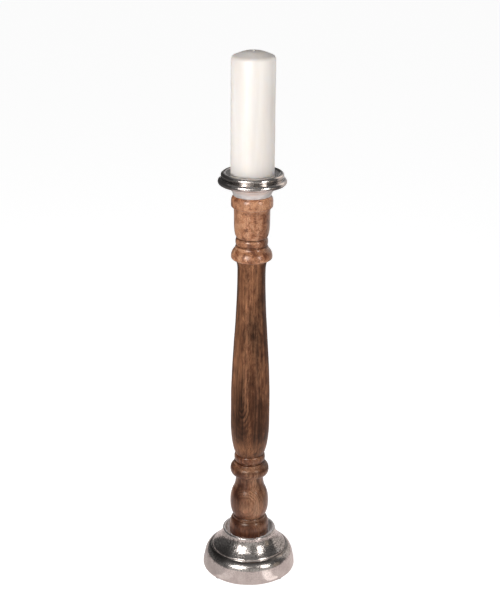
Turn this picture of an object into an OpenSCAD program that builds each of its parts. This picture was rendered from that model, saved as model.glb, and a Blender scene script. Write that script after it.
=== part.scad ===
// Tall pillar candle holder: a turned wooden column clamped between a cast metal base and a
// cast metal dish by one threaded rod, with a pillar candle standing on the dish.
// Millimetres, +Z up, origin on the floor at the centre of the base.

/* [Base] */
// Diameter of the base at the floor
base_d = 155; // [146:1:162]
// Height of the lip around the seat of the column
base_h = 70; // [68:1:73]
// Depth of the seat below the lip
seat_depth = 8; // [6:0.5:9]
// Diameter of the seat's flat floor
seat_d = 67; // [66.5:0.5:70]
// Diameter over the lip
lip_d = 88.6; // [86:0.2:91]
// Thickness of the felt pads
pad_h = 1.5; // [1:0.5:2]
// Diameter of each felt pad
pad_d = 9; // [6:0.5:10]
// Number of felt pads
pad_count = 4; // [3:1:8]

/* [Column] */
// Diameter of the foot and the beads of the column
bead_d = 64; // [62:0.5:66]
// Height of the lower turning, from the seat to its joint with the shaft
lower_h = 148; // [146:1:152]
// Height of the shaft
shaft_h = 340; // [300:5:420]
// Diameter of the shaft at its belly
belly_d = 63.4; // [56:0.2:66]
// Diameter of the shaft at its narrow upper neck
neck_d = 44.6; // [40:0.2:48]
// Height of the upper turning, from the shaft to the dish
upper_h = 104.5; // [103:0.5:107]
// Diameter of the turned tenons that join the column
tenon_d = 26; // [20:1:30]
// Length of the tenons
tenon_len = 16; // [10:1:20]

/* [Dish] */
// Diameter over the lower ring of the dish
dish_d = 107.6; // [100:0.4:116]
// Height of the dish above the column
dish_h = 36.7; // [36:0.1:39]
// Depth of the dish's floor below its rim
floor_drop = 1.7; // [1:0.1:3]
// Length of the spike above the floor
spike_len = 22; // [14:1:30]
// Diameter of the spike at its root
spike_d = 7; // [5:0.5:8]

/* [Candle] */
// Diameter of the candle
candle_d = 68; // [58:1:72]
// Height of the candle
candle_h = 188; // [100:1:250]
// Diameter of the wick
wick_d = 2.4; // [1.6:0.2:4]

/* [Hardware] */
// Thread diameter of the tie rod
rod_d = 8; // [6:1:10]
// Clearance around the rod in the wood and the base, on the diameter
rod_clearance = 1; // [0.5:0.5:2]
// Gap between mating threads, on the diameter
thread_gap = 0.1; // [0.05:0.05:0.2]
// Width of the nut across its flats
nut_af = 13; // [12:0.5:17]
// Height of the nut
nut_h = 6.5; // [5:0.5:8]

/* [Hidden] */
$fn = 96;

// Floor heights of the pieces, from the bottom up
seat_z = base_h - seat_depth;
shaft_z = seat_z + lower_h;
upper_z = shaft_z + shaft_h;
dish_z = upper_z + upper_h;
rim_z = dish_z + dish_h;
candle_z = rim_z - floor_drop;
candle_top = candle_z + candle_h;

// Hollow underside of the base
flange_r = base_d / 2 - 11;
hollow_r = base_d / 2 - 8;
ceiling_z = seat_z - 7.5;
boss_r = 14;
boss_h = 4.5;
boss_z = ceiling_z - boss_h;

// Tie rod and what it clamps
rod_r = rod_d / 2;
rod_hole_r = (rod_d + rod_clearance) / 2;
thread_r = (rod_d + thread_gap) / 2;
washer_h = 2;
washer_r = 12;
lock_h = 2;
lock_r = 7.4;
nut_chamfer = 0.8;
rod_tail = 4;
washer_z = boss_z - washer_h;
lock_z = washer_z - lock_h;
nut_z = lock_z - nut_h;
rod_bottom = nut_z - rod_tail;
pricket_plate_r = 11;
pricket_plate_h = 3;
pricket_plug_len = 6;
rod_top = candle_z - pricket_plate_h;
dish_thread_r = rod_r + thread_gap / 2;

// Tenons are a little shorter and thinner than their mortises
tenon_r = tenon_d / 2;
mortise_r = tenon_r + 0.1;
mortise_len = tenon_len + 1;
glue_chamfer = 1;

// Turned sizes of the column
bead_r = bead_d / 2;
foot_r = bead_r + 0.8;
belly_r = belly_d / 2;
neck_r = neck_d / 2;
joint_r = 23.6;

// Candle
candle_r = candle_d / 2;
spike_hole_r = spike_d / 2 + 0.4;
spike_hole_len = spike_len + 3;
wick_well = 2.5;
wick_len = 60;

// Points on a curve that leaves a towards b and arrives at c from b
function bow(a, b, c, n = 10) =
    [for (i = [0:n]) let (t = i / n) (1 - t) * (1 - t) * a + 2 * t * (1 - t) * b + t * t * c];

// Points on a circular arc about centre c
function arc(c, r, from, to, n = 10) =
    [for (i = [0:n]) let (a = from + (to - from) * i / n) c + r * [cos(a), sin(a)]];

// Turns a list of [radius, height] points into a solid
module turned(outline) rotate_extrude() polygon(outline);

// Outside of the base, from the floor edge up to the lip
function base_outside(r = base_d / 2, lip = lip_d / 2, h = base_h) = concat(
    arc([r - 2, pad_h + 2], 2, -90, 0, 4),
    bow([r - 0.6, 10], [r - 2.2, 18], [r - 3.5, 24], 5),
    bow([r - 3.6, 24.6], [r - 6, 33.2], [r - 13.8, 37.3]),
    [[r - 15, 36.5]],
    bow([r - 15.9, 38.4], [r - 15.4, 39.6], [r - 16.6, 40.6], 3),
    bow([r - 17, 41], [lip + 2.6, h - 17], [lip + 0.1, h - 5.4], 14),
    arc([lip - 2.3, h - 2.3], 2.3, 0, 125));

// Dished seat inside the lip, ending at the hole for the rod
function base_seat(r = seat_d / 2, lip = lip_d / 2) = concat(
    bow([lip - 4.6, base_h - 1.6], [lip - 6.2, seat_z + 2.2], [r + 0.6, seat_z + 0.5], 6),
    [[r, seat_z], [rod_hole_r, seat_z]]);

// Hollow underside with a flange for the pads and a boss for the washer
function base_inside(r = base_d / 2, lip = lip_d / 2) = [
    [rod_hole_r, boss_z], [boss_r, boss_z], [boss_r + 1, ceiling_z],
    [lip - 4, ceiling_z], [lip + 0.8, ceiling_z - 8], [lip + 7.8, ceiling_z - 16],
    [r - 20, 32.5], [r - 11.5, 28], [r - 8.5, 22], [hollow_r, 8],
    [flange_r, 5], [flange_r, pad_h]];

module base_casting() color("silver")
    turned(concat(base_outside(), base_seat(), base_inside()));

module felt_pads() color("dimgray")
    for (i = [0:pad_count - 1]) rotate(45 + 360 * i / pad_count)
        translate([(flange_r + base_d / 2 - 1) / 2, 0, 0]) cylinder(d = pad_d, h = pad_h);

// Flat ring around the rod
module ring(r, hole_r, z, h)
    translate([0, 0, z]) difference() {
        cylinder(r = r, h = h);
        translate([0, 0, -1]) cylinder(r = hole_r, h = h + 2);
    }

module base_washer() color("gainsboro") ring(washer_r, rod_r + 0.2, washer_z, washer_h);

// Spring washer, split on one side
module lock_washer() color("slategray")
    difference() {
        ring(lock_r, rod_r + 0.15, lock_z, lock_h);
        translate([rod_r, -0.5, lock_z - 1]) cube([lock_r, 1, lock_h + 2]);
    }

module clamp_nut() color("gainsboro")
    intersection() {
        difference() {
            translate([0, 0, nut_z]) cylinder(d = nut_af / cos(30), h = nut_h, $fn = 6);
            translate([0, 0, nut_z - 1]) cylinder(r = thread_r, h = nut_h + 2);
        }
        turned([[0, nut_z], [nut_af / 2, nut_z], [nut_af / 2 + nut_chamfer * 1.6, nut_z + nut_chamfer],
                [nut_af / 2 + nut_chamfer * 1.6, nut_z + nut_h - nut_chamfer],
                [nut_af / 2, nut_z + nut_h], [0, nut_z + nut_h]]);
    }

module tie_rod() color("lightgray")
    turned([[0, rod_bottom], [rod_r - 0.8, rod_bottom], [rod_r, rod_bottom + 0.8],
            [rod_r, rod_top - 0.8], [rod_r - 0.8, rod_top], [0, rod_top]]);

// Small ring bead between two grooves, from height z to z + h
function ring_bead(r, z, h, groove_r) = concat(
    bow([groove_r, z], [r + 0.2, z + 0.1 * h], [r, z + 0.46 * h], 6),
    bow([r, z + 0.54 * h], [r, z + 0.9 * h], [groove_r + 0.5, z + h], 6));

// Foot and urn of the lower turning, then its large bead and its ring
function lower_outline(r = foot_r, z = seat_z) = concat(
    [[rod_hole_r, z], [r - 0.8, z], [r, z + 0.8], [r, z + 5], [r - 0.35, z + 5.4], [r, z + 5.8]],
    bow([r, z + 12], [r, z + 24], [28.4, z + 28.6]),
    [[27.2, z + 28.8], [27.4, z + 31], [27, z + 32.6], [25.8, z + 33.6]],
    bow([26.4, z + 35], [bead_r, z + 43], [bead_r, z + 60]),
    bow([bead_r, z + 60.5], [bead_r, z + 74], [26.2, z + 85.5]),
    bow([25.8, z + 86.3], [23, z + 94], [22.7, z + 104], 8),
    [[22.9, z + 108.6]],
    bow([23.6, z + 109.4], [bead_r - 1, z + 109.6], [bead_r, z + 118.4]),
    bow([bead_r, z + 119], [bead_r - 0.1, z + 126.6], [27.5, z + 129]),
    [[26.4, z + 129.5], [26.5, z + 130.6], [25.9, z + 133.2], [23.2, z + 134]],
    ring_bead(25.5, z + 135, lower_h - 135, 23),
    [[tenon_r, z + lower_h], [tenon_r, z + lower_h + tenon_len - glue_chamfer],
     [tenon_r - glue_chamfer, z + lower_h + tenon_len], [rod_hole_r, z + lower_h + tenon_len]]);

module lower_turning() color([0.45, 0.24, 0.14]) turned(lower_outline());

// Shaft: a low belly that tapers to a neck and flares out again under the collar
module shaft() color([0.42, 0.26, 0.18])
    turned(concat(
        [[mortise_r, shaft_z], [joint_r - 0.6, shaft_z], [joint_r, shaft_z + 0.6]],
        bow([joint_r + 0.3, shaft_z + 1.2], [belly_r, shaft_z + 21], [belly_r, shaft_z + 58], 12),
        // half a cosine wave from the belly to the neck
        [for (i = [1:20]) let (t = i / 20)
            [neck_r + (belly_r - neck_r) * (1 + cos(180 * t)) / 2,
             shaft_z + 90 + (shaft_h - 110) * t]],
        bow([neck_r + 0.1, upper_z - 14], [neck_r + 0.8, upper_z - 6], [neck_r + 3.6, upper_z]),
        [[mortise_r, upper_z], [mortise_r, upper_z - mortise_len],
         [rod_hole_r, upper_z - mortise_len], [rod_hole_r, shaft_z + mortise_len],
         [mortise_r, shaft_z + mortise_len]]));

// Collar, ring, cup and lip of the upper turning
function upper_outline(z = upper_z) = concat(
    [[rod_hole_r, z - tenon_len], [tenon_r - glue_chamfer, z - tenon_len],
     [tenon_r, z - tenon_len + glue_chamfer], [tenon_r, z], [neck_r + 3.8, z]],
    bow([neck_r + 6, z + 0.3], [bead_r + 0.8, z + 0.8], [bead_r + 0.8, z + 4.6], 6),
    bow([bead_r + 0.8, z + 5], [bead_r + 0.7, z + 13.4], [27.4, z + 17.8]),
    [[26.4, z + 18.3], [26.6, z + 19.4], [25.8, z + 22], [23.2, z + 22.8]],
    ring_bead(25.7, z + 23.6, 12, 23.2),
    [[23, z + 36.2]],
    bow([24.6, z + 37], [28.3, z + 43], [28.3, z + 60]),
    bow([28.4, z + 76], [28.5, z + 82], [29.4, z + 84.6], 4),
    bow([30.6, z + 85.4], [bead_r + 1.4, z + 86], [bead_r + 1, z + 91], 5),
    bow([bead_r + 1, z + 95], [bead_r + 1, z + 100.8], [30.4, z + 103.4], 8),
    [[29.6, z + upper_h], [rod_hole_r, z + upper_h]]);

module upper_turning() color([0.6, 0.36, 0.2]) turned(upper_outline());

// Dish: a funnel neck, a lower and an upper ring, and a flat floor with a threaded middle
module candle_dish(r = dish_d / 2, ring_r = 4.8, rim_r = 4.2) color("silver")
    turned(concat(
        [[dish_thread_r, dish_z], [29.2, dish_z], [30, dish_z + 0.8]],
        bow([30.2, dish_z + 1.6], [31.5, dish_z + 11], [r - 5.5, dish_z + 17.6]),
        arc([r - ring_r, rim_z - 14.4], ring_r, -72, 80, 14),
        [[r - 5.9, rim_z - 8.8]],
        arc([r - 4.6 - rim_r, rim_z - rim_r], rim_r, -45, 122, 14),
        [[r - 12, candle_z], [pricket_plate_r + 0.1, candle_z],
         [pricket_plate_r + 0.1, rod_top], [dish_thread_r, rod_top]]));

// Spike on a round plate that is let into the floor of the dish
module candle_spike() color("lightgray")
    turned([[0, rod_top], [pricket_plate_r, rod_top], [pricket_plate_r, candle_z - 0.3],
            [pricket_plate_r - 0.3, candle_z], [spike_d / 2, candle_z],
            [spike_d / 2 - 0.3, candle_z + 6], [0.6, candle_z + spike_len - 0.6],
            [0, candle_z + spike_len]]);

// Candle with a moulded dome, a wick well and a hole for the spike
module candle_body() color("ivory")
    turned(concat(
        [[spike_hole_r, candle_z], [candle_r - 1.2, candle_z]],
        arc([candle_r - 1.2, candle_z + 1.2], 1.2, -60, 0, 3),
        bow([candle_r, candle_top - 13.6], [candle_r, candle_top - 7.4], [candle_r - 5.4, candle_top - 6]),
        bow([candle_r - 6.4, candle_top - 5.7], [candle_r - 18, candle_top - 0.2], [9, candle_top]),
        bow([6, candle_top - 0.1], [3, candle_top - 0.4], [wick_d / 2 + 0.05, candle_top - wick_well], 5),
        [[wick_d / 2 + 0.05, candle_top - wick_len], [0, candle_top - wick_len],
         [0, candle_z + spike_hole_len], [spike_hole_r, candle_z + spike_hole_len]]));

module wick() color("wheat")
    translate([0, 0, candle_top - wick_len]) cylinder(d = wick_d, h = wick_len + 1);

base_casting();
felt_pads();
base_washer();
lock_washer();
clamp_nut();
tie_rod();
lower_turning();
shaft();
upper_turning();
candle_dish();
candle_spike();
candle_body();
wick();
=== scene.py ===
"""Looks for the pillar candle holder: turned wood, polished cast metal, wax and felt on the CAD frame.

The outline of each turned, cast or moulded piece is read back from its own CAD node, refined, and turned
again as a dense, slightly irregular mesh. The washers, the nut, the spike and the pads keep their CAD meshes.
Lengths are in metres, and MM turns millimetres into them.
"""
import math

import bmesh
import bpy
from mathutils import Euler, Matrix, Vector, noise


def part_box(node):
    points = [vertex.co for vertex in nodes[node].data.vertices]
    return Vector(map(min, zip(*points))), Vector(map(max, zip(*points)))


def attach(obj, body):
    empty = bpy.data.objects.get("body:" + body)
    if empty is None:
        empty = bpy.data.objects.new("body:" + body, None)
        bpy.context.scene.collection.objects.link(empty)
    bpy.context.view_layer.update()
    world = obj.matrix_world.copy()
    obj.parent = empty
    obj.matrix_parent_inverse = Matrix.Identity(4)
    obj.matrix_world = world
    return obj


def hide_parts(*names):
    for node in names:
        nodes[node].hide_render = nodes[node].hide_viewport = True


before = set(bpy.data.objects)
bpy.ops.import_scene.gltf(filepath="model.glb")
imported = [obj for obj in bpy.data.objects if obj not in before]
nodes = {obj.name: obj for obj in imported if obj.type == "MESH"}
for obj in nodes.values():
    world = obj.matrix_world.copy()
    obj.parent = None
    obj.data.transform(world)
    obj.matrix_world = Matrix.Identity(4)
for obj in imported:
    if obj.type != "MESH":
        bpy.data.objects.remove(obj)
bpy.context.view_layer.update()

MM = 0.001
TURNS = 192  # mesh columns around a turned piece
CORNER = math.radians(24)  # a sharper turn of an outline stays a corner
ALL_ROUND = 400  # width, in degrees, of a mark that goes all the way round


# ---------------------------------------------------------------- outlines

def outline(node):
    """The (radius, height) points of a round CAD node, in order along its section, and whether they close."""
    mesh = nodes[node].data
    spots = [(round(math.hypot(v.co.x, v.co.y), 5), round(v.co.z, 5)) for v in mesh.vertices]
    links = {}
    for edge in mesh.edges:
        a, b = (spots[i] for i in edge.vertices)
        if a != b:
            links.setdefault(a, set()).add(b)
            links.setdefault(b, set()).add(a)
    ends = sorted(spot for spot, near in links.items() if len(near) == 1)
    at = ends[0] if ends else min(links, key=lambda spot: (spot[1], -spot[0]))
    path, last = [at], None
    while True:
        ahead = [spot for spot in links[at] if spot != last and spot not in path[1:]]
        ahead.sort(key=lambda spot: -spot[0])
        if not ahead or ahead[0] == path[0]:
            return path, not ends
        last, at = at, ahead[0]
        path.append(at)


def turning(a, b, c):
    """Angle by which a path turns at b."""
    u, v = (b[0] - a[0], b[1] - a[1]), (c[0] - b[0], c[1] - b[1])
    return abs(math.atan2(u[0] * v[1] - u[1] * v[0], u[0] * v[0] + u[1] * v[1]))


def on_curve(before, a, b, after, t):
    """A point t of the way from a to b, on the smooth curve through all four."""
    return tuple(
        0.5 * (2 * a[k] + (b[k] - before[k]) * t
               + (2 * before[k] - 5 * a[k] + 4 * b[k] - after[k]) * t * t
               + (3 * a[k] - before[k] - 3 * b[k] + after[k]) * t ** 3) for k in (0, 1))


def refine(path, closed, step, edge):
    """The path with rounded corners of size edge and smooth stretches cut into steps."""
    most_trim = 0.3  # the largest share of a stretch that a rounded corner takes
    count = len(path)
    corner = []
    for i, p in enumerate(path):
        inside = closed or 0 < i < count - 1
        corner.append(not inside or turning(path[i - 1], p, path[(i + 1) % count]) > CORNER)
    points = []
    for i in range(count if closed else count - 1):
        j = (i + 1) % count
        a, b = path[i], path[j]
        before = a if corner[i] else path[i - 1]
        after = b if corner[j] else path[(i + 2) % count]
        length = math.dist(a, b)
        cuts = max(1, round(length / step))
        trim_a = min(edge / length, most_trim) if corner[i] else 0
        trim_b = min(edge / length, most_trim) if corner[j] else 0
        for k in range(cuts + (1 if trim_b else 0)):
            points.append(on_curve(before, a, b, after, trim_a + (1 - trim_a - trim_b) * k / cuts))
    if not closed:
        points.append(path[-1])
    return points


def with_heights(points, heights):
    """The path with points added at some heights of its outer wall."""
    wall = 0.97 * max(r for r, z in points)
    more = []
    for a, b in zip(points, points[1:]):
        more.append(a)
        low, high = sorted((a[1], b[1]))
        cuts = [z for z in heights if low < z < high] if min(a[0], b[0]) > wall else []
        for z in sorted(cuts, reverse=b[1] < a[1]):
            more.append((a[0] + (b[0] - a[0]) * (z - a[1]) / (b[1] - a[1]), z))
    return more + [points[-1]]


def groove_depth(points, i, reach=5 * MM, full=1.6 * MM):
    """How far point i lies inside the outline's surroundings, from 0 to 1."""
    r, z = points[i]
    if r < 0.9 * max(q[0] for q in points if abs(q[1] - z) < 1.5 * MM):
        return 0.0  # an inside surface
    below = [q[0] for q in points if z - reach < q[1] < z] or [r]
    above = [q[0] for q in points if z < q[1] < z + reach] or [r]
    return min(1.0, max(0.0, min(max(below), max(above)) - r) / full)


# ---------------------------------------------------------------- meshes

def new_object(name, vertices, faces, smooth=True):
    mesh = bpy.data.meshes.new(name)
    mesh.from_pydata(vertices, [], faces)
    mesh.update()
    if smooth:
        mesh.shade_smooth()
    obj = bpy.data.objects.new(name, mesh)
    bpy.context.scene.collection.objects.link(obj)
    return obj


def fix_normals(obj):
    """Turns the faces outwards."""
    work = bmesh.new()
    work.from_mesh(obj.data)
    bmesh.ops.recalc_face_normals(work, faces=work.faces)
    work.to_mesh(obj.data)
    work.free()


def turned(name, node, body, step=2 * MM, edge=0.35 * MM, wobble=0.0, wave=20 * MM, seed=0.0,
           turns=TURNS, heights=()):
    """A turned piece that replaces its CAD node, with a surface that wanders by up to wobble over about wave.

    Heights are where the outer wall gets one more ring of points each.
    """
    path, closed = outline(node)
    points = with_heights(refine(path, closed, step, edge), heights)
    vertices, faces = [], []
    for r, z in points:
        for k in range(turns):
            a = 2 * math.pi * k / turns
            x, y = r * math.cos(a), r * math.sin(a)
            if wobble:
                place = Vector((x, y, z)) / wave + Vector((seed, seed * 2, seed * 3))
                swell = 1 + wobble * noise.noise(place) / max(r, 0.1 * MM)
                x, y = x * swell, y * swell
            vertices.append((x, y, z))
    rows = len(points)
    for i in range(rows if closed else rows - 1):
        j = (i + 1) % rows
        for k in range(turns):
            m = (k + 1) % turns
            faces.append((i * turns + k, i * turns + m, j * turns + m, j * turns + k))
    if not closed:
        faces.append(tuple(range(turns))[::-1])
        faces.append(tuple((rows - 1) * turns + k for k in range(turns)))
    obj = new_object(name, vertices, faces)
    # How deep each ring lies in a groove, which the materials darken as painted shade.
    depths = [groove_depth(points, i) for i in range(rows)]
    mark(obj, "groove", [depth for depth in depths for _ in range(turns)])
    fix_normals(obj)
    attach(obj, body)
    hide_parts(node)
    return obj


def carve(obj, low, high, radius, depth):
    """Lowers the wall outside a radius, between two heights, by depth(azimuth, height)."""
    for v in obj.data.vertices:
        r = math.hypot(v.co.x, v.co.y)
        if r > radius and low <= v.co.z <= high:
            k = 1 - depth(math.atan2(v.co.y, v.co.x), v.co.z) / r
            v.co.x, v.co.y = v.co.x * k, v.co.y * k
    obj.data.update()


def mark(obj, name, levels):
    """A point attribute, which the materials read, with one level for each point."""
    attribute = obj.data.attributes.get(name) or obj.data.attributes.new(name, "FLOAT", "POINT")
    attribute.data.foreach_set("value", levels)


def mark_where(obj, name, level):
    """A mark whose level depends on a point's radius and height."""
    mark(obj, name, [level(math.hypot(v.co.x, v.co.y), v.co.z) for v in obj.data.vertices])


def blotches(obj, name, *spots):
    """A mark made of soft patches, each (azimuth, place, width, height, level).

    Azimuth and width are degrees, and azimuth 0 is towards the camera and grows to the right. The place is
    the height of the patch's middle above the piece's underside, and both heights are in millimetres.
    """
    foot = min(v.co.z for v in obj.data.vertices)
    levels = []
    for v in obj.data.vertices:
        azimuth = math.degrees(math.atan2(v.co.x, -v.co.y))
        sway = 0.5 * noise.noise(v.co * 45)
        total = 0.0
        for at, up, wide, tall, level in spots:
            aside = ((azimuth - at + 180) % 360 - 180) / wide
            above = (v.co.z - foot - up * MM) / (tall * MM)
            total += level * math.exp(-(aside + sway) ** 2 - (above + sway) ** 2)
        levels.append(min(1.0, total))
    mark(obj, name, levels)


# ---------------------------------------------------------------- materials

class Shader:
    """A material's nodes, made by short calls."""

    def __init__(self, name):
        self.material = bpy.data.materials.new(name)
        self.material.use_nodes = True
        self.tree = self.material.node_tree
        self.bsdf = self.tree.nodes["Principled BSDF"]

    def node(self, kind, **settings):
        n = self.tree.nodes.new(kind)
        for key, value in settings.items():
            setattr(n, key, value)
        return n

    def put(self, socket, value):
        if isinstance(value, bpy.types.NodeSocket):
            self.tree.links.new(value, socket)
        else:
            socket.default_value = value

    def set(self, **values):
        """Links or constants for the shader's own sockets, such as Base_Color=."""
        for key, value in values.items():
            self.put(self.bsdf.inputs[key.replace("_", " ")], value)

    def place(self, scale=(1, 1, 1), turn=(0, 0, 0), shift=(0, 0, 0)):
        """Object coordinates in metres, moved, turned and scaled."""
        where = self.node("ShaderNodeTexCoord")
        mapping = self.node("ShaderNodeMapping")
        self.put(mapping.inputs["Vector"], where.outputs["Object"])
        mapping.inputs["Location"].default_value = shift
        mapping.inputs["Rotation"].default_value = turn
        mapping.inputs["Scale"].default_value = scale
        return mapping.outputs["Vector"]

    def mark(self, name):
        """A mark left on the mesh, or 0 where the mesh has none by that name."""
        return self.node("ShaderNodeAttribute", attribute_name=name).outputs["Fac"]

    def noise(self, vector, scale=1.0, detail=4.0, rough=0.5, distort=0.0):
        n = self.node("ShaderNodeTexNoise")
        self.put(n.inputs["Vector"], vector)
        n.inputs["Scale"].default_value = scale
        n.inputs["Detail"].default_value = detail
        n.inputs["Roughness"].default_value = rough
        n.inputs["Distortion"].default_value = distort
        return n.outputs["Fac"]

    def ramp(self, value, *stops):
        """Colours or grey levels at stops, each (place, colour or level)."""
        n = self.node("ShaderNodeValToRGB")
        self.put(n.inputs["Fac"], value)
        points = n.color_ramp.elements
        while len(points) < len(stops):
            points.new(0.5)
        for point, (where, colour) in zip(points, stops):
            point.position = where
            point.color = (*colour, 1) if isinstance(colour, tuple) else (colour, colour, colour, 1)
        return n.outputs["Color"]

    def maths(self, how, a, b=0.0, clamp=False):
        n = self.node("ShaderNodeMath", operation=how, use_clamp=clamp)
        self.put(n.inputs[0], a)
        self.put(n.inputs[1], b)
        return n.outputs[0]

    def plus(self, a, b, clamp=False):
        return self.maths("ADD", a, b, clamp)

    def times(self, a, b):
        return self.maths("MULTIPLY", a, b)

    def along_x(self, x):
        """A vector with x alone."""
        n = self.node("ShaderNodeCombineXYZ")
        self.put(n.inputs["X"], x)
        return n.outputs["Vector"]

    def vector(self, how, a, b=(0, 0, 0)):
        n = self.node("ShaderNodeVectorMath", operation=how)
        self.put(n.inputs[0], a)
        self.put(n.inputs[1], b)
        return n.outputs["Value" if how == "LENGTH" else "Vector"]

    def mix(self, amount, a, b, how="MIX"):
        n = self.node("ShaderNodeMix", data_type="RGBA", blend_type=how)
        self.put(n.inputs["Factor"], amount)
        for socket, value in ((n.inputs[6], a), (n.inputs[7], b)):
            self.put(socket, (*value, 1) if isinstance(value, tuple) and len(value) == 3 else value)
        return n.outputs[2]

    def bump(self, height, strength, distance):
        n = self.node("ShaderNodeBump")
        n.inputs["Strength"].default_value = strength
        n.inputs["Distance"].default_value = distance
        self.put(n.inputs["Height"], height)
        return n.outputs["Normal"]


def darker(colour, share):
    """A share of a colour's light."""
    return tuple(c * share for c in colour)


def growth_rings(s, sway, heart, tilt, growth, warp):
    """Rings round a log whose centre line stands at heart, in metres from the column's, and leans by tilt."""
    log = s.place(turn=(*tilt, 0), shift=(-heart[0], -heart[1], 0))
    across = s.plus(s.vector("LENGTH", s.vector("MULTIPLY", log, (1, 1, 0))), s.times(sway, warp))
    # Good and bad years make some rings wider than others
    years = s.noise(s.vector("MULTIPLY", s.along_x(across), (growth * 0.35, 1, 1)), detail=2)
    ring = s.maths("FRACT", s.plus(s.times(across, growth), s.times(years, 0.9)))
    return s.ramp(ring, (0.0, 0.1), (0.14, 0.0), (0.5, 0.45), (0.9, 1.0), (1.0, 0.1))


def limb_rings(s, sway, azimuth, height):
    """Rings round a limb at an azimuth and a height: long loops below that height, straight lines above."""
    growth, warp, far = 225, 0.007, 9
    shape = (1, 0, 0.45)  # how fast the rings follow each other along x, y and z
    beside = s.place(turn=(0, 0, -math.radians(azimuth)), shift=(0, 0, -height))
    beside = s.vector("MULTIPLY", s.vector("MINIMUM", beside, (far, far, 0)), shape)
    across = s.plus(s.vector("LENGTH", beside), s.times(sway, warp))
    ring = s.maths("FRACT", s.times(across, growth))
    return s.ramp(ring, (0.0, 0.3), (0.2, 0.0), (0.45, 0.6), (0.75, 1.0), (1.0, 0.3))


def wood(name, dark, mid, light, seed, heart, tilt, growth, figure, coat, warp=0.004, streak=(24, 24, 1.8),
         mottling=0.25, veining=0.75, gloss=(0.24, 0.42), limb=(0, 0), curl=1.0):
    """Lacquered mango wood, in tones from dark to light.

    Growth is the number of growth rings in a metre, figure how dark they are, and warp how far they wander.
    The turned shape cuts them into nested arches. Where the mesh is marked "limb_near", they run round a limb
    at an azimuth and a height. Streak is how fast the tone changes along x, y and z. Veins, fibres and pores
    lie over it, and the more curl, the shorter they are. The mark "pale" lightens the wood, both for paler
    wood and as painted light and painted highlights. The mark "shade" darkens it, both for dark wood and as
    painted shade, and the mark "groove" lays painted shade in the grooves.
    """
    s = Shader(name)
    sway = s.noise(s.place(scale=(40, 40, 10), shift=(seed, 0, seed)), detail=4, rough=0.55)
    broad = s.noise(s.place(scale=streak, shift=(seed, seed, 0)), detail=5, rough=0.6, distort=0.6)
    mottle = s.noise(s.place(scale=(110, 110, 50 + 5 * curl), shift=(seed, 0, seed)), detail=5, rough=0.7)
    tone = s.plus(broad, s.times(s.maths("SUBTRACT", mottle, 0.5), 2 * mottling))
    colour = s.ramp(tone, (0.32, dark), (0.50, mid), (0.66, light))

    arches = s.times(growth_rings(s, sway, heart, tilt, growth, warp),
                     s.ramp(mottle, (0.35, 0.4 * figure), (0.65, figure)))
    ring = s.plus(arches, s.times(limb_rings(s, sway, *limb), s.mark("limb_near")), clamp=True)
    colour = s.mix(ring, colour, darker(dark, 0.8))
    # Paler wood, and painted light and painted highlights, where the mesh is marked pale.
    colour = s.mix(s.times(s.mark("pale"), 0.75), colour, light)

    veins = s.noise(s.place(scale=(300, 300, 6 * curl), shift=(seed, 0, 0)), detail=3, rough=0.6)
    colour = s.mix(veining, colour, s.ramp(veins, (0.34, 0.2), (0.54, 1.0), (0.7, 1.15)), "MULTIPLY")
    fibre = s.noise(s.place(scale=(900, 900, 40 * curl), shift=(seed, 0, 0)), detail=3, rough=0.7)
    colour = s.mix(0.6, colour, s.ramp(fibre, (0.34, 0.35), (0.58, 1.0), (0.72, 1.25)), "MULTIPLY")
    pores = s.noise(s.place(scale=(1100, 1100, 120 * curl), shift=(0, seed, 0)), detail=1)
    colour = s.mix(s.ramp(pores, (0.62, 0.0), (0.70, 0.7)), colour, darker(dark, 0.35))

    uneven = s.ramp(mottle, (0.3, 1.0), (0.7, 0.6))
    # Dark wood and painted shade where the mesh is marked shade, and painted shade in the grooves.
    for stain_and_shade, tint in (("shade", 0.45), ("groove", 0.4)):
        colour = s.mix(s.times(s.mark(stain_and_shade), uneven), colour, darker(dark, tint))
    s.set(Base_Color=colour, Roughness=s.ramp(mottle, (0.3, gloss[0]), (0.7, gloss[1])),
          Normal=s.bump(fibre, 0.25, 0.3 * MM), Specular_IOR_Level=0.25,
          Specular_Tint=(1.0, 0.68, 0.45, 1), Coat_Weight=coat, Coat_Roughness=0.25)
    return s.material


def polished_metal(name, polish, grit=0.0):
    """Nickel-plated casting, slightly uneven under the polish.

    Polish is the roughness from best to worst. Grit is how strong the grain and the tarnish are where the
    mesh is marked "rough". Where it is marked "satin", the metal was never polished.
    """
    s = Shader(name)
    soft = s.noise(s.place(), scale=55, detail=2)
    grain = s.noise(s.place(), scale=400, detail=4, rough=0.7)
    patch = s.noise(s.place(shift=(3, 1, 0)), scale=38, detail=4, rough=0.6)
    peen = s.noise(s.place(shift=(0, 2, 0)), scale=170, detail=2)
    satin, rough = s.mark("satin"), s.mark("rough")

    specks = s.times(s.ramp(grain, (0.47, 0.0), (0.57, grit)), rough)
    tarnish = s.times(specks, s.ramp(patch, (0.42, 0.35), (0.56, 1.0)))
    nickel = s.ramp(soft, (0.35, (0.58, 0.535, 0.515)), (0.65, (0.68, 0.64, 0.615)))
    colour = s.mix(tarnish, nickel, (0.17, 0.15, 0.14))
    # Painted shade in the grooves.
    colour = s.mix(s.times(s.mark("groove"), 0.75), colour, (0.10, 0.085, 0.075))
    colour = s.mix(satin, colour, (0.94, 0.90, 0.89))

    shine = s.ramp(grain, (0.42, polish[0]), (0.58, polish[1]))
    pitted = s.times(rough, s.times(s.plus(grain, peen), 0.7 * grit))
    s.set(Base_Color=colour, Roughness=s.mix(satin, shine, (0.5, 0.5, 0.5)),
          Metallic=s.ramp(satin, (0.0, 1.0), (1.0, 0.0)),
          Normal=s.bump(s.plus(s.times(soft, 1.5), pitted), 0.4, 0.6 * MM))
    return s.material


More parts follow.
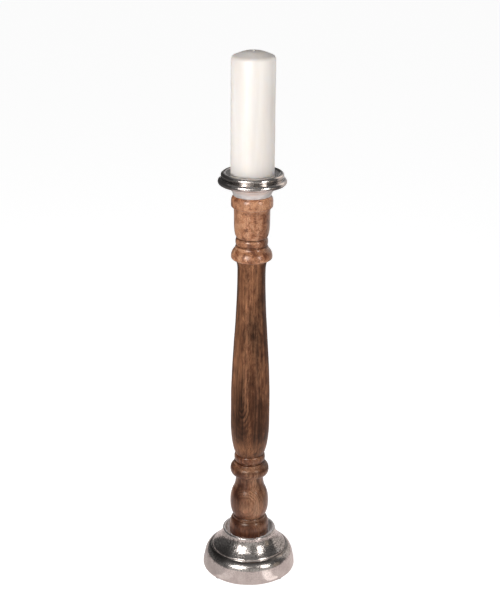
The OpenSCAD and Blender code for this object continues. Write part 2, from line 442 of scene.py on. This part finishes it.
def candle_wax(name):
    s = Shader(name)
    streaks = s.noise(s.place(scale=(60, 60, 5)), detail=3)
    cloud = s.noise(s.place(), scale=30, detail=3)
    s.set(Base_Color=s.ramp(streaks, (0.3, (0.66, 0.61, 0.565)), (0.7, (0.73, 0.695, 0.665))),
          Roughness=s.ramp(cloud, (0.3, 0.36), (0.7, 0.5)), Normal=s.bump(cloud, 0.15, 0.8 * MM),
          Subsurface_Weight=0.35, Subsurface_Radius=(1.0, 0.75, 0.5), Subsurface_Scale=12 * MM)
    return s.material


def felt(name):
    s = Shader(name)
    fuzz = s.noise(s.place(), scale=2200, detail=3)
    s.set(Base_Color=s.ramp(fuzz, (0.3, (0.05, 0.05, 0.05)), (0.7, (0.16, 0.16, 0.16))),
          Normal=s.bump(fuzz, 0.6, 0.5 * MM), Roughness=0.95, Sheen_Weight=0.4)
    return s.material


def zinc(name):
    s = Shader(name)
    spangle = s.noise(s.place(), scale=500, detail=3)
    s.set(Base_Color=s.ramp(spangle, (0.3, (0.50, 0.51, 0.53)), (0.7, (0.68, 0.68, 0.69))),
          Roughness=s.ramp(spangle, (0.3, 0.25), (0.7, 0.42)), Normal=s.bump(spangle, 0.2, 0.3 * MM),
          Metallic=1.0)
    return s.material


def cotton(name):
    s = Shader(name)
    yarn = s.noise(s.place(scale=(1, 1, 0.4)), scale=1800, detail=3)
    s.set(Base_Color=s.ramp(yarn, (0.3, (0.62, 0.58, 0.50)), (0.7, (0.88, 0.85, 0.78))),
          Normal=s.bump(yarn, 0.6, 0.4 * MM), Roughness=0.9)
    return s.material


def glow(name, level, colour=(1, 1, 1)):
    """A material that only shines."""
    s = Shader(name)
    s.set(Base_Color=(0, 0, 0, 1), Specular_IOR_Level=0.0,
          Emission_Color=(*colour, 1), Emission_Strength=level)
    return s.material


def dress(obj, material):
    obj.data.materials.clear()
    obj.data.materials.append(material)


# ---------------------------------------------------------------- pieces

def underside(node):
    """Height of a CAD node's lowest point."""
    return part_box(node)[0].z


def top(node):
    """Height of a CAD node's highest point."""
    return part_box(node)[1].z


def cast_base():
    """The bell-shaped base: a satin seat inside a bright lip, a smooth skirt and a groove darkened with
    painted shade.
    """
    seat_low = underside("lower_turning") - 1 * MM
    seat_radius = 42 * MM
    lip_low = top("base_casting") - 2.5 * MM
    skirt_top, skirt_blend = 20 * MM, 9 * MM
    groove_z, groove_width, groove_radius = 36.3 * MM, 1.1 * MM, 50 * MM

    def satin(r, z):
        if z < seat_low:
            return 0.0
        if r < seat_radius:
            return 1.0
        return 0.1 if z > lip_low else 0.0

    def rough(r, z):
        return min(1.0, max(0.1, (z - skirt_top) / skirt_blend))

    # A line of painted shade along the groove on the shoulder.
    def groove(r, z):
        return math.exp(-((z - groove_z) / groove_width) ** 2) if r > groove_radius else 0.0

    obj = turned("base_visual", "base_casting", "stand", step=1.5 * MM, wobble=0.25 * MM,
                 wave=18 * MM, seed=1.7)
    mark_where(obj, "satin", satin)
    mark_where(obj, "rough", rough)
    mark_where(obj, "groove", groove)
    dress(obj, polished_metal("cast_nickel", polish=(0.11, 0.27), grit=0.9))


def cast_dish():
    """The ringed dish, half satin on its funnel neck."""
    neck_top, neck_radius = underside("candle_dish") + 17.5 * MM, 44 * MM
    obj = turned("dish_visual", "candle_dish", "stand", step=1.2 * MM, wobble=0.12 * MM,
                 wave=14 * MM, seed=4.1)
    mark_where(obj, "satin", lambda r, z: 0.41 if r < neck_radius and z < neck_top else 0.0)
    dress(obj, polished_metal("polished_nickel", polish=(0.12, 0.22)))


def wooden_foot():
    """The foot, the light urn with its dark knot and slanting streaks, and the dark beads, with painted shade
    on their sides and undersides and painted highlights on their fronts.
    """
    obj = turned("lower_visual", "lower_turning", "stand", wobble=0.2 * MM, wave=22 * MM,
                 seed=2.3)
    # Dark wood: a knot high on the urn's left, slanting streaks on its right and smaller patches. Painted
    # shade: bands round the foot, under the bead and on the bead's left and right sides.
    blotches(obj, "shade",
             (-44, 86, 28, 19, 1.3), (-12, 101, 10, 10, 0.4),
             (28, 110, 7, 7, 0.9), (37, 101, 7, 8, 1.0), (47, 91, 7, 8, 0.9),
             (34, 74, 6, 9, 0.7), (52, 68, 8, 12, 0.7), (85, 83, 22, 30, 0.6),
             (-84, 134, 14, 10, 0.7), (66, 134, 26, 10, 0.7),
             (0, 6, ALL_ROUND, 10, 0.5), (0, 27, ALL_ROUND, 5.5, 0.75),
             (0, 116, ALL_ROUND, 3, 0.4), (0, 124, ALL_ROUND, 3, 0.7))
    # A paler patch on the urn's front, painted light on the bead's left, and painted highlights on the bead's
    # front and on the foot's round.
    blotches(obj, "pale",
             (4, 56, 36, 20, 0.45), (-62, 132, 16, 7, 0.5),
             (-8, 127.5, 30, 3.5, 0.8), (-6, 29.5, 26, 2.5, 0.7))
    dress(obj, wood("urn_wood", dark=(0.055, 0.012, 0.004), mid=(0.22, 0.079, 0.038),
                    light=(0.48, 0.24, 0.13), seed=3.1, heart=(0.006, 0.050), tilt=(0.05, -0.05),
                    growth=640, figure=0.8, coat=0.55, streak=(24, 24, 6), veining=0.4))


def wooden_shaft():
    """The long dark shaft: a limb's rings low on its left, a dark middle and a streak of painted light up its
    left.
    """
    obj = turned("shaft_visual", "shaft", "stand", step=4 * MM, wobble=0.2 * MM, wave=30 * MM,
                 seed=6.9)
    limb_azimuth, limb_up = -27, 95 * MM
    # Dark patches in the wood, the darkest in the middle, and painted shade down the left edge.
    blotches(obj, "shade",
             (12, 215, 26, 36, 0.9), (18, 150, 16, 30, 0.4), (-62, 60, 18, 50, 0.6),
             (50, 280, 20, 60, 0.5), (-80, 290, 14, 50, 0.6), (30, 40, 20, 20, 0.3))
    blotches(obj, "limb_near", (limb_azimuth, 90, 34, 50, 0.95))
    # A paler ring at the shaft's foot, and painted light in a long streak up its left side.
    blotches(obj, "pale", (0, 16, ALL_ROUND, 13, 0.6), (-56, 230, 20, 130, 0.8), (-46, 160, 20, 30, 0.5))
    dress(obj, wood("shaft_wood", dark=(0.020, 0.006, 0.003), mid=(0.125, 0.044, 0.020),
                    light=(0.38, 0.16, 0.074), seed=7.7, heart=(0.085, 0.180), tilt=(0.090, -0.040),
                    growth=1000, figure=0.3, coat=0.2, warp=0.003, gloss=(0.32, 0.5),
                    limb=(limb_azimuth, underside("shaft") + limb_up)))


def wooden_cup():
    """The light, mottled cup, with painted shade down its right side and painted light on its left."""
    obj = turned("upper_visual", "upper_turning", "stand", wobble=0.2 * MM, wave=22 * MM,
                 seed=5.2)
    # Painted shade down the cup's right side, a thin dark line across its front and a faint one round the
    # collar.
    blotches(obj, "shade", (78, 68, 42, 36, 0.95), (10, 98, 60, 2, 0.4), (0, 44, ALL_ROUND, 3, 0.2))
    # A painted highlight round the lip bead, and painted light on the cup's left side.
    blotches(obj, "pale", (0, 111.5, ALL_ROUND, 4, 0.4), (-52, 71, 30, 30, 0.5))
    dress(obj, wood("cup_wood", dark=(0.17, 0.056, 0.025), mid=(0.43, 0.175, 0.082), light=(0.60, 0.30, 0.16),
                    seed=1.3, heart=(-0.010, 0.060), tilt=(0.02, 0.05), growth=520, figure=0.45, coat=0.9,
                    warp=0.010, streak=(64, 64, 52), mottling=0.7, veining=0.15, curl=12))


def candle():
    obj = turned("candle_visual", "candle_body", "candle", step=3 * MM, edge=0.6 * MM, wobble=0.3 * MM,
                 wave=40 * MM, seed=8.8)
    dress(obj, candle_wax("ivory_wax"))


def tie_rod(material):
    """The rod, with a helical thread cut into the end that the nut is on."""
    low, length, core = underside("tie_rod"), 25.4 * MM, 3.6 * MM
    pitch, depth, flank = 1.25 * MM, 0.62 * MM, 2.6
    rows, first, apart = 140, 0.2 * MM, 0.18 * MM

    def thread(azimuth, z):
        return depth * max(0.0, 1 - flank * abs((z / pitch - azimuth / (2 * math.pi)) % 1 - 0.5))

    obj = turned("rod_visual", "tie_rod", "stand", step=60 * MM, edge=0.3 * MM, turns=48,
                 heights=[low + first + apart * k for k in range(rows)])
    carve(obj, low + 0.1 * MM, low + length, core, thread)
    dress(obj, material)


def wick():
    """The wick, braided where it stands out of the wax."""
    low, high, core = top("wick") - 6.5 * MM, top("wick") - 0.1 * MM, 1.0 * MM
    depth, lay = 0.22 * MM, 0.55 * MM
    rows, apart = 53, 0.12 * MM

    def braid(azimuth, z):
        return depth * abs(math.sin(1.5 * azimuth + z / lay) * math.sin(1.5 * azimuth - z / lay))

    obj = turned("wick_visual", "wick", "candle", step=30 * MM, edge=0.25 * MM, turns=48,
                 heights=[low + apart * k for k in range(rows)])
    carve(obj, low, high, core, braid)
    dress(obj, cotton("cotton_wick"))


# ---------------------------------------------------------------- stage, light and camera

STAGE_REACH = 40.0
COLUMN_MIDDLE = Vector((0, 0, 0.35))
DISTANCE = 1.15  # from the column to the softboxes
FAR_CARD = 1.15 * DISTANCE  # a nearer card hides the ones behind it
MID_CARD = 1.13 * DISTANCE
NEAR_CARD = 1.12 * DISTANCE
NEAREST_CARD = 1.10 * DISTANCE
CARD_FACET = 8  # degrees of a card's curve to each flat face
FULL_HEIGHT = (0.0, 1.9)  # of a card
NEAR_POOL = (0.082, 0.5)  # from the column
FAR_POOL = (0.7, 1.4)
LAMP_WHITE = (1, 0.98, 0.95)
SOFT_WHITE = (1, 0.98, 0.94)
CREAM = (1, 0.93, 0.88)
BEIGE = (1, 0.88, 0.78)
AMBER = (1, 0.86, 0.70)
FLOOR_TINT = (1, 0.88, 0.85)
POOL_TINT = (1, 0.90, 0.87)


def around(azimuth, height, distance=DISTANCE):
    """A place round the column; azimuth 0 is towards the camera and grows to the right."""
    a = math.radians(azimuth)
    return Vector((distance * math.sin(a), -distance * math.cos(a), height))


def reflected(name, points, faces, level, colour):
    """A shining surface that shows only in reflections."""
    obj = new_object(name, points, faces, smooth=False)
    dress(obj, glow(name, level, colour))
    obj.visible_camera = obj.visible_diffuse = obj.visible_shadow = obj.visible_transmission = False


def floor():
    """A white floor for the camera and for soft light, and a warm grey one that shows only in reflections."""
    r = STAGE_REACH
    corners = [(-r, -r, 0), (r, -r, 0), (r, r, 0), (-r, r, 0)]
    white = new_object("floor", corners, [(0, 1, 2, 3)], smooth=False)
    s = Shader("pale_floor")
    s.set(Base_Color=(0.5, 0.5, 0.5, 1), Roughness=0.9, Specular_IOR_Level=0.0,
          Emission_Color=(1, 1, 1, 1), Emission_Strength=0.88)
    dress(white, s.material)
    white.visible_glossy = False
    reflected("floor_reflection", corners, [(0, 1, 2, 3)], 0.80, FLOOR_TINT)


def band(sides):
    """The faces between two rings of points."""
    return [(k, (k + 1) % sides, sides + (k + 1) % sides, sides + k) for k in range(sides)]


def backdrop():
    """A pale wall all round, seen by the camera alone, so that no view looks into the dark studio."""
    sides, rim, low, high = 48, STAGE_REACH * 0.95, -30.0, 60.0
    points = [tuple(around(360 * k / sides, z, rim)) for z in (low, high) for k in range(sides)]
    ends = [tuple(range(sides)), tuple(range(sides, 2 * sides))]
    obj = new_object("backdrop", points, band(sides) + ends, smooth=False)
    dress(obj, glow("pale_backdrop", 0.97))
    obj.visible_diffuse = obj.visible_glossy = obj.visible_shadow = obj.visible_transmission = False


def softbox(name, azimuth, height, size, power, distance=DISTANCE):
    """A lamp that points at the middle of the column and doesn't show in reflections."""
    light = bpy.data.lights.new(name, "AREA")
    light.shape = "RECTANGLE"
    light.size, light.size_y = size
    light.energy = power
    obj = bpy.data.objects.new(name, light)
    bpy.context.scene.collection.objects.link(obj)
    obj.location = around(azimuth, height, distance)
    obj.rotation_euler = (COLUMN_MIDDLE - obj.location).to_track_quat("-Z", "Y").to_euler()
    obj.visible_glossy = False


def card(name, azimuths, heights, level, colour=(1, 1, 1), distance=FAR_CARD):
    """A curved studio card between two azimuths and two heights."""
    first, last = azimuths
    steps = max(2, int(abs(last - first) / CARD_FACET))
    spots = [first + (last - first) * k / steps for k in range(steps + 1)]
    points = [tuple(around(a, z, distance)) for a in spots for z in heights]
    faces = [(2 * k, 2 * k + 2, 2 * k + 3, 2 * k + 1) for k in range(steps)]
    reflected(name, points, faces, level, colour)


def pool(name, azimuths, reach, level):
    """Light lying on the floor under a softbox, between two distances from the column."""
    points = [tuple(around(a, 4 * MM, d)) for d in reach for a in azimuths]
    reflected(name, points, [(0, 1, 3, 2)], level, POOL_TINT)


def floor_ring(name, reach, level):
    """A dim part of the floor, away from the softboxes."""
    sides = 64
    points = [tuple(around(360 * k / sides, 3 * MM, r)) for r in reach for k in range(sides)]
    reflected(name, points, band(sides), level, POOL_TINT)


def world_light(level):
    world = bpy.data.worlds.new("studio")
    bpy.context.scene.world = world
    world.use_nodes = True
    sky = world.node_tree.nodes["Background"]
    sky.inputs["Color"].default_value = (1, 1, 1, 1)
    sky.inputs["Strength"].default_value = level


def camera():
    """Two metres in front of the column, looking down on it by about 20 degrees and leaning a little."""
    data = bpy.data.cameras.new("camera")
    obj = bpy.data.objects.new("camera", data)
    bpy.context.scene.collection.objects.link(obj)
    data.lens = 80.6
    data.sensor_width = 36
    data.clip_end = 3 * STAGE_REACH
    obj.location = (-0.002, -1.993, 1.227)
    pitch, roll = math.radians(69.55), math.radians(0.55)
    obj.rotation_euler = (Euler((pitch, 0, 0)).to_matrix() @ Euler((0, 0, roll)).to_matrix()).to_euler()
    bpy.context.scene.camera = obj


def studio():
    floor()
    backdrop()
    world_light(0.17)
    softbox("left_softbox", -30, 0.98, (0.42, 0.95), 8.6)
    softbox("right_softbox", 45, 0.98, (0.30, 0.85), 5.0)
    softbox("left_fill", -82, 0.9, (0.5, 1.1), 3.9)
    softbox("overhead", 0, 2.4, (0.9, 0.9), 4.0, distance=0.35)
    card("left_shine", (-39, -22), (0.60, 1.40), 13, LAMP_WHITE, NEAR_CARD)
    card("high_shine", (-23, 2), (1.18, 1.40), 3, LAMP_WHITE, NEAR_CARD)
    card("right_shine", (39.5, 50), (0.60, 1.36), 12, LAMP_WHITE, NEAR_CARD)
    card("dark_left", (-168, -74), (0.0, 0.55), 0.11)
    card("darker_left", (-168, -74), (0.55, 1.9), 0.05)
    card("dusk_left", (-74, -50), FULL_HEIGHT, 0.13)
    card("dark_right", (62, 104), FULL_HEIGHT, 0.10)
    card("pale_right", (104, 160), (0.0, 0.66), 0.62, CREAM)
    card("dusk_back_right", (104, 160), (0.66, 1.9), 0.5)
    card("beige_right", (112, 140), (0.85, 1.7), 1.3, BEIGE, NEAREST_CARD)
    card("bright_back", (160, 192), (0.45, 0.90), 0.8)
    card("warm_right", (66, 80), (0.05, 0.6), 0.5, AMBER, NEAREST_CARD)
    card("grey_front", (-50, 62), (0.6, 1.9), 0.24, SOFT_WHITE)
    card("pale_front", (-50, 62), (0.0, 0.6), 0.50, SOFT_WHITE)
    card("soft_shine", (-46, -8), (0.60, 0.95), 3.0, LAMP_WHITE, MID_CARD)
    pool("left_pool", (-46, -27), NEAR_POOL, 0.95)
    pool("right_pool", (26, 43), NEAR_POOL, 1.5)
    pool("left_dusk_pool", (-130, -48), NEAR_POOL, 0.6)
    pool("far_left_pool", (-44, -10), FAR_POOL, 1.5)
    pool("far_right_pool", (30, 50), FAR_POOL, 1.6)
    floor_ring("dim_floor", (0.5, 1.4), 0.15)
    bpy.context.scene.view_settings.view_transform = "Standard"


hardware = zinc("zinc_plate")
cast_base()
cast_dish()
wooden_foot()
wooden_shaft()
wooden_cup()
candle()
tie_rod(hardware)
wick()
for name in ("base_washer", "lock_washer", "clamp_nut", "candle_spike"):
    dress(nodes[name], hardware)
dress(nodes["felt_pads"], felt("grey_felt"))
studio()
camera()
